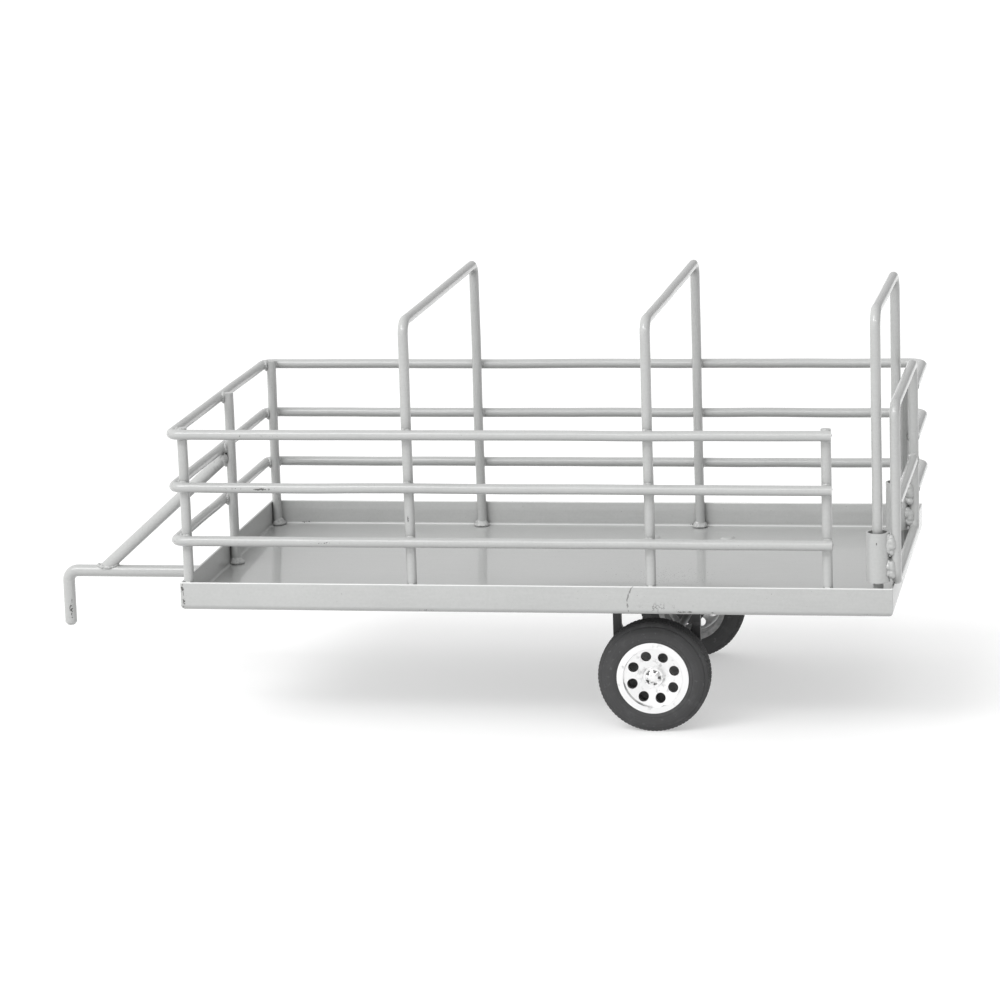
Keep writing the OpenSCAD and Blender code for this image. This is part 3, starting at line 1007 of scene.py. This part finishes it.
class OBJECT_OT_trailer_welds(TrailerOperator, bpy.types.Operator):
    """Lay lumpy beads over every weld, one piece for each group of joints"""

    bl_idname = "object.trailer_welds"
    bl_label = "Lay the welds"

    def crossings(self, bead):
        """Small loops in the angle between each rail and the uprights it touches."""
        paths = []
        uprights = [(post_foot(p), d) for p, d in (
            ("left_end_post", (0, -1)),
            ("front_left_post", (0, -1)),
            ("front_left_post", (-1, 0)),
            ("front_centre_post", (-1, 0)),
            ("front_right_post", (-1, 0)),
            ("front_right_post", (0, 1)),
            ("rear_right_post", (1, 0)),
        )]
        for hoop in ("front_hoop", "middle_hoop"):
            near_leg, far_leg = hoop_legs(hoop)
            uprights += [(near_leg, (0, -1)), (far_leg, (0, 1))]
        for rail in RAILS:
            z = middle(rail).z
            for foot, (dx, dy) in uprights:
                touch = Vector((foot.x + dx * ROD, foot.y + dy * ROD, z))
                along = Vector((abs(dy), abs(dx), 0.0))
                loop = [
                    touch
                    + along * (math.cos(angle) * ROD * 0.80)
                    + Vector((0, 0, math.sin(angle) * ROD * 0.80))
                    for angle in turns(12)
                ]
                paths.append(loop)
        return paths, [[bead] * len(p) for p in paths]

    def feet(self, bead):
        """Rings round the feet, held inside the lips."""
        spots = [post_foot(p) for p in POSTS]
        for hoop in HOOPS:
            spots += hoop_legs(hoop)
        low = Vector((TRAY_LOW.x, TRAY_LOW.y)) + Vector((1, 1)) * (SHEET * 1.6)
        high = Vector((TRAY_HIGH.x, TRAY_HIGH.y)) - Vector((1, 1)) * (SHEET * 1.6)
        paths, sizes = [], []
        for number, spot in enumerate(spots):
            heavy = 1.0 + 0.35 * (spot.x < TRAY_LOW.x + 10 * MM)
            for reach, lift, share in FILLET:
                ring, size = [], []
                for angle in turns(18):
                    away = ROD + bead * reach * heavy
                    x = min(max(spot.x + away * math.cos(angle), low.x), high.x)
                    y = min(max(spot.y + away * math.sin(angle), low.y), high.y)
                    ring.append(Vector((x, y, FLOOR_Z + bead * lift)))
                    wave = 0.34 * math.sin(2 * angle + 1.7 * number) * math.cos(angle + number)
                    size.append(min(bead * share * (1.0 + wave) * heavy, FOOT_BEAD_LIMIT))
                paths.append(ring)
                sizes.append(size)
        return paths, sizes

    def drawbar(self, bead):
        """Beads round both ends of the brace and along the drawbar under the tray."""
        low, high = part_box("drawbar_brace")
        centre_y = middle("drawbar").y
        top_of_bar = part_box("drawbar")[1].z
        rise = math.atan2(high.z - low.z, high.x - low.x)
        foot_half = BAR / math.sin(rise)
        foot = Vector((low.x + foot_half * 0.9, centre_y, top_of_bar))
        paths, sizes = [], []
        ring = []
        for angle in turns(24):
            along, across = math.cos(angle) * foot_half * 1.05, math.sin(angle) * BAR * 0.9
            ring.append(foot + Vector((along, across, -abs(math.sin(angle)) * BAR * 0.25)))
        paths.append(ring)
        sizes.append([bead * (0.62 + 0.16 * math.sin(2.1 * i)) for i in range(25)])
        blob = [foot + Vector((foot_half, s * 0.8 * MM, 0.25 * MM)) for s in (-1, 0, 1)]
        paths.append(blob)
        sizes.append([bead, bead * 1.3, bead * 0.9])
        head_z = middle("middle_rail").z - BRACE_HEAD_DROP
        drop = BAR / math.cos(rise)
        x = middle("front_centre_post").x - ROD - BRACE_WELD_OUT
        arch = []
        for angle in turns(12, math.pi):
            y = centre_y + math.cos(angle) * BAR * 0.75
            arch.append(Vector((x, y, head_z - abs(math.sin(angle)) * drop)))
        paths.append(arch)
        sizes.append([bead * 1.05] * 13)
        z = TRAY_LOW.z - 0.7 * MM
        for side in (NEAR, FAR):
            y = centre_y + side * BAR * 0.80
            for x0, x1 in TAIL_WELDS:
                paths.append(
                    [Vector((TRAY_LOW.x + x0 + (x1 - x0) * i / 6, y, z)) for i in range(7)]
                )
                sizes.append([bead * 1.1] * 7)
        return paths, sizes

    def gate(self, bead):
        """Two heavy blobs between each sleeve and the gate's leg, and collars on the cross bar."""
        gate_low, gate_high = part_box("gate_frame")
        gate_x = middle("gate_cross_bar").x
        bar_z = middle("gate_cross_bar").z
        paths, sizes = [], []
        for sleeve, leg_y, inwards in (
            ("left_gate_sleeve", gate_low.y + ROD, 1),
            ("right_gate_sleeve", gate_high.y - ROD, -1),
        ):
            low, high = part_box(sleeve)
            gap_x = (high.x + gate_x - ROD) / 2
            for share, length in ((0.27, 4.4 * MM), (0.76, 5.6 * MM)):
                z = low.z + share * (high.z - low.z)
                for across in (-1.5, -0.5, 0.5, 1.5):
                    for along in (-0.6, 0.6):
                        slip = 0.5 * math.sin(2.3 * across + along)
                        x, y = gap_x + along * MM, leg_y + across * MM
                        paths.append(
                            [
                                Vector((x, y, z + slip * MM + length * (i / 6 - 0.5)))
                                for i in range(7)
                            ]
                        )
                        sizes.append(
                            [
                                bead * (1.42 + 0.2 * math.sin(1.3 * i + 2.1 * across))
                                for i in range(7)
                            ]
                        )
            collar = [
                Vector(
                    (
                        gate_x + math.cos(a) * ROD * 0.82,
                        leg_y + inwards * ROD * 0.92,
                        bar_z + math.sin(a) * ROD * 0.98,
                    )
                )
                for a in turns(16)
            ]
            paths.append(collar)
            sizes.append([bead * (0.72 + 0.2 * math.sin(2.3 * i)) for i in range(17)])
        return paths, sizes

    def execute(self, context):
        settings = context.scene.trailer_welds
        tree = weld_tree()
        plan = (
            ("rail_weld_beads", "rail_welds", "chassis", self.crossings(settings.crossing_bead), 3),
            ("foot_weld_beads", "foot_welds", "chassis", self.feet(settings.foot_bead), 7),
            ("drawbar_weld_beads", "drawbar_welds", "chassis", self.drawbar(settings.foot_bead), 11),
            ("gate_weld_beads", "gate_welds", "gate", self.gate(settings.foot_bead), 19),
        )
        for name, node, body, (paths, sizes), seed in plan:
            source = path_mesh(name + "_paths", paths, {"bead": sizes})
            piece = tree.grow(
                name,
                source,
                {
                    "Spacing": 0.75 * MM,
                    "Unevenness": 0.22,
                    "Grain": settings.grain,
                    "Lump": 0.34 * MM,
                    "Seed": seed,
                    "Finish": finish("grey_enamel"),
                },
            )
            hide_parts(node)
            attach(piece, body)
        return {"FINISHED"}


class OBJECT_OT_trailer_tray(TrailerOperator, bpy.types.Operator):
    """Round the cut edges and corners of the folded tray"""

    bl_idname = "object.trailer_tray"
    bl_label = "Dress the tray"

    def execute(self, context):
        work = bmesh.new()
        work.from_mesh(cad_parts["tray"].data)
        bmesh.ops.remove_doubles(work, verts=work.verts, dist=1e-6)
        bmesh.ops.dissolve_limit(
            work, angle_limit=math.radians(0.5), verts=work.verts, edges=work.edges
        )
        cut = [
            edge
            for edge in work.edges
            if len(edge.link_faces) == 2
            and edge.calc_face_angle(0) > math.radians(55)
            and max(v.co.z for v in edge.verts) > FLOOR_Z + 1.5 * MM
        ]
        bmesh.ops.bevel(
            work,
            geom=cut,
            offset=context.scene.trailer_paint.edge_radius,
            segments=3,
            profile=0.5,
            affect="EDGES",
            clamp_overlap=True,
        )
        bmesh.ops.triangulate(work, faces=work.faces)
        mesh = finished_mesh(work, "folded_tray")
        smooth_by_angle(mesh, degrees=35)
        mesh.materials.append(finish("grey_enamel"))
        tray = add_object("folded_tray", mesh)
        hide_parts("tray")
        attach(tray, "chassis")
        return {"FINISHED"}


class OBJECT_OT_trailer_rods(TrailerOperator, bpy.types.Operator):
    """Sweep the rails, posts and hoops as hand-bent rods"""

    bl_idname = "object.trailer_rods"
    bl_label = "Bend the rods"

    def rail_path(self, rail):
        low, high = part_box(rail)
        z = (low.z + high.z) / 2
        x0, y0, y1 = low.x + ROD, low.y + ROD, high.y - ROD
        x1 = high.x - ROD
        left_end = middle("left_end_post").x + RAIL_OVERRUN
        right_end = middle("rear_right_post").y - RAIL_OVERRUN
        corner = 2 * ROD
        points = [(left_end, y0, z), (x0, y0, z), (x0, y1, z), (x1, y1, z), (x1, right_end, z)]
        return points, [0, corner, corner, RAIL_END_BEND, 0]

    def post_path(self, post):
        low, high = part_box(post)
        at = (low + high) / 2
        return [(at.x, at.y, FLOOR_Z - FOOT_SINK), (at.x, at.y, high.z)], [0, 0]

    def hoop_path(self, hoop, bend):
        near_leg, far_leg = hoop_legs(hoop)
        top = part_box(hoop)[1].z - ROD
        foot = FLOOR_Z - FOOT_SINK
        x = near_leg.x
        points = [
            (x, near_leg.y, foot),
            (x, near_leg.y, top),
            (x, far_leg.y, top),
            (x, far_leg.y, foot),
        ]
        return points, [0, bend, bend, 0]

    def execute(self, context):
        settings = context.scene.trailer_rods
        tree = rod_tree()
        plan = [(rail, "chassis", ROD, self.rail_path(rail)) for rail in RAILS]
        plan += [(post, "chassis", ROD, self.post_path(post)) for post in POSTS]
        plan += [(hoop, "chassis", ROD, self.hoop_path(hoop, HOOP_BENDS[hoop])) for hoop in HOOPS]
        for node, body, radius, (points, bend) in plan:
            source = path_mesh(node + "_path", [points], {"bend": [bend]})
            piece = tree.grow(
                node + "_rod",
                source,
                {
                    "Radius": radius,
                    "Step": settings.step,
                    "Wander": settings.wander,
                    "Finish": finish("grey_enamel"),
                },
            )
            smooth_by_angle(piece.data, degrees=40)
            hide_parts(node)
            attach(piece, body)
        return {"FINISHED"}


class OBJECT_OT_trailer_tyres(TrailerOperator, bpy.types.Operator):
    """Turn the two tyres and set their tread blocks"""

    bl_idname = "object.trailer_tyres"
    bl_label = "Mould the tyres"

    def profile(self, outer, half, seat, flange):
        """Closed section of the carcass: (radius, outwards)."""
        shoulder = outer - 0.9 * MM
        crown = outer - 0.14 * MM
        side = [
            (seat, half - 1.45 * MM),
            (flange, half - 1.45 * MM),
            (flange, half - 0.55 * MM),
            (flange + 0.5 * MM, half - 0.25 * MM),
            (flange + 1.2 * MM, half - 0.02 * MM),
            (flange + 1.35 * MM, half),
            (flange + 1.55 * MM, half - 0.12 * MM),
            (flange + 2.6 * MM, half - 0.02 * MM),
            (flange + 3.9 * MM, half - 0.22 * MM),
            (flange + 5.0 * MM, half - 0.70 * MM),
            (flange + 5.7 * MM, half - 1.20 * MM),
            (flange + 5.95 * MM, half - 1.36 * MM),
            (flange + 6.0 * MM, half - 1.86 * MM),
            (flange + 6.5 * MM, half - 1.96 * MM),
            (shoulder + 0.35 * MM, half - 2.35 * MM),
            (crown - 0.1 * MM, half - 2.75 * MM),
            (crown, half - 3.3 * MM),
        ]
        groove = [
            (crown, 2.75 * MM),
            (crown - 0.7 * MM, 2.65 * MM),
            (crown - 0.7 * MM, 2.15 * MM),
            (crown, 2.05 * MM),
            (crown + 0.02 * MM, 0.35 * MM),
            (crown - 0.7 * MM, 0.28 * MM),
        ]
        right = side + groove
        return right + [(r, -out) for r, out in reversed(right)]

    def block(self, name, size):
        """One tread block, its top a little smaller than its foot."""
        long, wide, tall = size
        work = bmesh.new()
        corners = []
        for level, share in ((-tall, 1.0), (0.0, 0.82)):
            for a, b in ((-1, -1), (1, -1), (1, 1), (-1, 1)):
                corners.append(work.verts.new((level, b * wide / 2 * share, a * long / 2 * share)))
        low, top = corners[:4], corners[4:]
        work.faces.new(low)
        work.faces.new(top)
        for i in range(4):
            work.faces.new((low[i], low[(i + 1) % 4], top[(i + 1) % 4], top[i]))
        bmesh.ops.recalc_face_normals(work, faces=work.faces)
        return add_object(name, finished_mesh(work, name))

    def execute(self, context):
        settings = context.scene.trailer_wheels
        rubber = finish("tyre_rubber")
        for body, (tyre, rim, side) in WHEELS.items():
            low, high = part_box(tyre)
            rim_low, rim_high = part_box(rim)
            centre = (low + high) / 2
            outer = (high.z - low.z) / 2
            half = (high.y - low.y) / 2
            flange = (rim_high.z - rim_low.z) / 2 + 0.05 * MM
            seat = flange - 1.0 * MM
            count = settings.tread_blocks
            pitch = math.tau * outer / count
            section = self.profile(outer, half, seat, flange)
            mesh = lathe(tyre + "_carcass", section, centre, side, segments=128)
            rows = (
                # across, skew, length, width, radius
                (half - 3.5 * MM, 0.0, 0.80, 1.7 * MM, outer - 0.08 * MM),
                (-(half - 3.5 * MM), 0.5, 0.80, 1.7 * MM, outer - 0.08 * MM),
                (1.2 * MM, 0.25, 0.82, 1.55 * MM, outer),
                (-1.2 * MM, 0.75, 0.82, 1.55 * MM, outer),
            )
            tree = around_tree("Tread blocks")
            for number, (across, skew, share, wide, radius) in enumerate(rows):
                block = self.block(f"{tyre}_block_{number}", (pitch * share, wide, 0.75 * MM))
                grown = tree.grow(
                    f"{tyre}_tread",
                    mesh,
                    {
                        "Piece": block,
                        "Count": count,
                        "Radius": radius,
                        "Across": across,
                        "Skew": skew,
                        "Centre": tuple(centre),
                        "Finish": rubber,
                    },
                )
                bpy.data.objects.remove(block)
                mesh = grown.data
                if number < len(rows) - 1:
                    bpy.data.objects.remove(grown)
            smooth_by_angle(grown.data, degrees=28)
            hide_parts(tyre)
            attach(grown, body)
        return {"FINISHED"}


class OBJECT_OT_trailer_caps(TrailerOperator, bpy.types.Operator):
    """Press the toothed push-on caps that hold the wheels on the axle"""

    bl_idname = "object.trailer_caps"
    bl_label = "Press the axle caps"

    def cap(self, work, centre, side, teeth):
        """A domed cap over a skirt that is cut into teeth, closed at both ends."""
        axle_low, axle_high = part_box("axle")
        axle_r = (axle_high.z - axle_low.z) / 2
        low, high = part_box("axle_caps")
        face = high.y if side == FAR else low.y
        crown = axle_r + 1.15 * MM
        segments = teeth * 12
        profile = (
            # radius, depth below the outer face, how deep the teeth cut in
            (0.0, 0.0, 0.0),
            (crown * 0.35, 0.05 * MM, 0.0),
            (crown * 0.62, 0.22 * MM, 0.0),
            (crown * 0.80, 0.55 * MM, 0.10),
            (crown * 0.98, 0.85 * MM, 0.34),
            (crown * 1.14, 1.05 * MM, 0.40),
            (crown * 1.20, 1.35 * MM, 0.42),
            (crown * 1.12, 1.75 * MM, 0.40),
            (crown * 0.80, 1.90 * MM, 0.0),
            (0.0, 1.90 * MM, 0.0),
        )
        rings = []
        for radius, depth, cut in profile:
            ring = []
            for i in range(segments):
                angle = math.tau * i / segments
                notch = max(0.0, math.cos(angle * teeth)) ** 2.2
                r = radius * (1 - cut * notch)
                y = face - side * (depth + 0.35 * MM * cut * notch)
                ring.append(
                    work.verts.new(
                        (centre.x + r * math.cos(angle), y, centre.z + r * math.sin(angle))
                    )
                )
            rings.append(ring)
        for inner, outer in zip(rings, rings[1:]):
            for i in range(segments):
                j = (i + 1) % segments
                work.faces.new((inner[i], inner[j], outer[j], outer[i]))

    def shade_plate(self, body, rim, side):
        """A dark, slightly dished plate of painted shade that closes the barrel behind the holes, so
        that they look dark.
        """
        low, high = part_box(rim)
        half, radius = (high.y - low.y) / 2, (high.z - low.z) / 2
        barrel, hub = radius - 1.9 * MM, radius * 0.23
        profile = (
            (hub, 2.6 * MM - half),
            (hub, 2.2 * MM - half),
            (barrel * 0.5, 1.5 * MM - half),
            (barrel, 1.3 * MM - half),
            (barrel, 1.8 * MM - half),
            (barrel * 0.5, 1.9 * MM - half),
        )
        mesh = lathe(rim + "_backing", profile, middle(rim), side)
        smooth_by_angle(mesh, degrees=35)
        mesh.materials.append(finish("turned_aluminium"))
        plate = add_object(rim + "_backing", mesh)
        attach(plate, body)

    def execute(self, context):
        work = bmesh.new()
        for _tyre, rim, side in WHEELS.values():
            self.cap(work, middle(rim), side, context.scene.trailer_wheels.cap_teeth)
        bmesh.ops.remove_doubles(work, verts=work.verts, dist=1e-6)
        bmesh.ops.recalc_face_normals(work, faces=work.faces)
        mesh = finished_mesh(work, "push_on_caps")
        smooth_by_angle(mesh, degrees=40)
        mesh.materials.append(finish("turned_aluminium"))
        caps = add_object("push_on_caps", mesh)
        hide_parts("axle_caps")
        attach(caps, "chassis")
        # painted shade: a dark plate behind the near wheel's holes only; the far wheel has none
        self.shade_plate("left_wheel", "left_rim", NEAR)
        return {"FINISHED"}


FLOOR_RADIUS = 14.0
KEY_SPREAD = math.radians(30.0)       # how wide the key light looks from the trailer
SOFTBOX_SIZE = (1.7, 0.16)
SOFTBOX_PLACE = Vector((-0.2, -1.0, 0.95))
SOFTBOX_AIM = Vector((0.0, 0.0, 0.05))
BRIGHT_SKY = Vector((-0.80, -0.35, 0.45)).normalized()      # towards the sky's bright side


class OBJECT_OT_trailer_studio(TrailerOperator, bpy.types.Operator):
    """Set the pale floor, the soft lights and the camera"""

    bl_idname = "object.trailer_studio"
    bl_label = "Set the studio"

    def sky(self, settings):
        """A sky that is bright on one side and dimmer on the other."""
        world = bpy.data.worlds.new("studio_sky")
        world.use_nodes = True
        g = Graph(world.node_tree)
        g.tree.nodes.clear()
        direction = g.node("ShaderNodeTexCoord", out="Generated")
        facing = g.vector("DOT_PRODUCT", direction, BRIGHT_SKY, out="Value")
        share = g.step(facing, -0.8, 0.9)
        strength = share * (settings.sky_bright - settings.sky_dim) + settings.sky_dim
        light = g.node(
            "ShaderNodeBackground", {}, {"Color": (1.0, 1.0, 1.0, 1.0), "Strength": strength}
        )
        g.node("ShaderNodeOutputWorld", {}, {"Surface": light})
        return world

    def execute(self, context):
        settings = context.scene.trailer_studio
        scene = context.scene
        work = bmesh.new()
        bmesh.ops.create_circle(work, cap_ends=True, segments=96, radius=FLOOR_RADIUS)
        mesh = finished_mesh(work, "studio_floor")
        mesh.materials.append(finish("studio_floor"))
        floor = add_object("studio_floor", mesh)

        data = bpy.data.lights.new("key_light", "SUN")
        data.energy = settings.key_strength
        data.angle = KEY_SPREAD
        key = add_object("key_light", data)
        key.rotation_euler = settings.key_turn
        data = bpy.data.lights.new("softbox", "AREA")
        data.shape = "RECTANGLE"
        data.size, data.size_y = SOFTBOX_SIZE
        data.energy = settings.softbox_watts
        softbox = add_object("softbox", data)
        softbox.location = SOFTBOX_PLACE
        aim = SOFTBOX_AIM - SOFTBOX_PLACE
        softbox.rotation_euler = aim.to_track_quat("-Z", "Y").to_euler()
        scene.world = self.sky(settings)
        scene.view_settings.view_transform = "Standard"

        data = bpy.data.cameras.new("studio_camera")
        data.sensor_width = 36.0
        data.lens = settings.lens_mm
        data.clip_end = 60.0
        camera = add_object("studio_camera", data)
        camera.location = settings.camera_place
        camera.rotation_euler = settings.camera_turn
        scene.camera = camera
        return {"FINISHED"}


# ---------- panel and registration ----------

OPERATORS = (
    OBJECT_OT_trailer_enamel,
    OBJECT_OT_trailer_tray,
    OBJECT_OT_trailer_rods,
    OBJECT_OT_trailer_welds,
    OBJECT_OT_trailer_tyres,
    OBJECT_OT_trailer_caps,
    OBJECT_OT_trailer_studio,
)
SETTINGS = {
    "trailer_paint": TrailerPaint,
    "trailer_rods": TrailerRods,
    "trailer_welds": TrailerWelds,
    "trailer_wheels": TrailerWheels,
    "trailer_studio": TrailerStudio,
}


class VIEW3D_PT_trailer(bpy.types.Panel):
    """Lists the steps that build the trailer's looks and their settings"""

    bl_idname = "VIEW3D_PT_trailer"
    bl_label = "Livestock trailer"
    bl_space_type = "VIEW_3D"
    bl_region_type = "UI"
    bl_category = "Trailer"

    def draw(self, context):
        for operator in OPERATORS:
            self.layout.operator(operator.bl_idname)
        for name, group in SETTINGS.items():
            box = self.layout.box()
            settings = getattr(context.scene, name)
            for label in group.__annotations__:
                box.prop(settings, label)


def register():
    for name, group in SETTINGS.items():
        bpy.utils.register_class(group)
        setattr(bpy.types.Scene, name, PointerProperty(type=group))
    for cls in (*OPERATORS, VIEW3D_PT_trailer):
        bpy.utils.register_class(cls)


def unregister():
    for cls in (VIEW3D_PT_trailer, *reversed(OPERATORS)):
        bpy.utils.unregister_class(cls)
    for name, group in SETTINGS.items():
        delattr(bpy.types.Scene, name)
        bpy.utils.unregister_class(group)


def main():
    register()
    for operator in OPERATORS:
        group, name = operator.bl_idname.split(".")
        if getattr(getattr(bpy.ops, group), name)() != {"FINISHED"}:
            raise RuntimeError(f"{operator.bl_label} did not finish")


if __name__ == "__main__":
    main()
